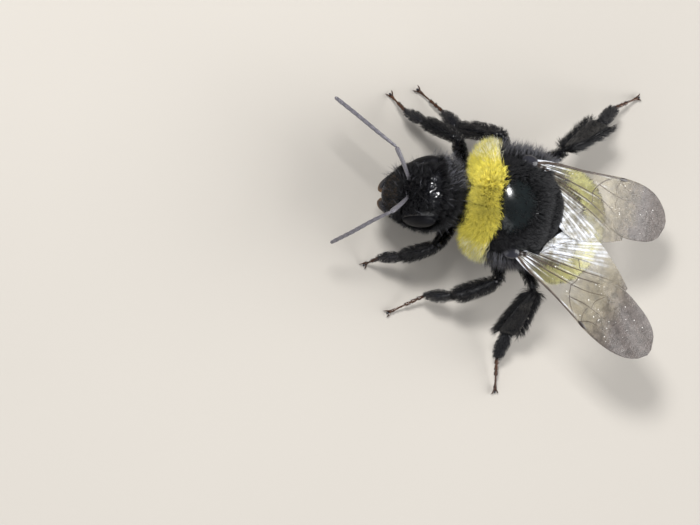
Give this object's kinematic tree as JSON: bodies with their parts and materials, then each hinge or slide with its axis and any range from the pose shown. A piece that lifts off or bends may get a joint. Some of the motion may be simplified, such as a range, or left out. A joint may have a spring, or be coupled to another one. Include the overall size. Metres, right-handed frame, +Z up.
{
  "type": "bumblebee",
  "caption": "Life-size still model of a worker bumblebee standing with its wings half spread: black coat, yellow collar and belt, pale tail.",
  "frame": {"origin": "on the floor under the middle of the whole bee's box", "axes": "-X towards the head, +X towards the tail, +Y to the bee's own right, +Z up from the floor"},
  "size_m": [0.0222, 0.0184, 0.0085],
  "materials": {
    "hair_black": "dense black pile with a faint sheen",
    "hair_yellow": "dense lemon-yellow pile, paler at the tips",
    "hair_white": "off-white pile",
    "cuticle": "glossy black, finely pitted shell",
    "eye": "faceted glossy black",
    "feeler": "dark grey, satin",
    "tarsus": "dark reddish brown, satin",
    "wing": "clear film, smoky towards the tip, with brown veins"
  },
  "bodies": {
    "root": {"abdomen_1": "hair_black", "abdomen_2": "hair_yellow", "abdomen_3": "hair_black", "abdomen_4": "hair_white", "abdomen_5": "hair_white", "abdomen_6": "cuticle", "antenna_lash_left": "feeler", "antenna_lash_right": "feeler", "antenna_scape_left": "feeler", "antenna_scape_right": "feeler", "coxa_front_left": "hair_black", "coxa_front_right": "hair_black", "coxa_hind_left": "hair_black", "coxa_hind_right": "hair_black", "coxa_middle_left": "hair_black", "coxa_middle_right": "hair_black", "eye_left": "eye", "eye_right": "eye", "femur_front_left": "hair_black", "femur_front_right": "hair_black", "femur_hind_left": "hair_black", "femur_hind_right": "hair_black", "femur_middle_left": "hair_black", "femur_middle_right": "hair_black", "forewing_left": "wing", "forewing_right": "wing", "head": "hair_black", "hindwing_left": "wing", "hindwing_right": "wing", "mandible_left": "cuticle", "mandible_right": "cuticle", "neck": "cuticle", "tarsus_front_left": "tarsus", "tarsus_front_right": "tarsus", "tarsus_hind_left": "tarsus", "tarsus_hind_right": "tarsus", "tarsus_middle_left": "tarsus", "tarsus_middle_right": "tarsus", "tegula_left": "cuticle", "tegula_right": "cuticle", "thorax": "hair_black", "tibia_front_left": "hair_black", "tibia_front_right": "hair_black", "tibia_hind_left": "hair_black", "tibia_hind_right": "hair_black", "tibia_middle_left": "hair_black", "tibia_middle_right": "hair_black", "waist": "cuticle"}
  },
  "joints": []
}
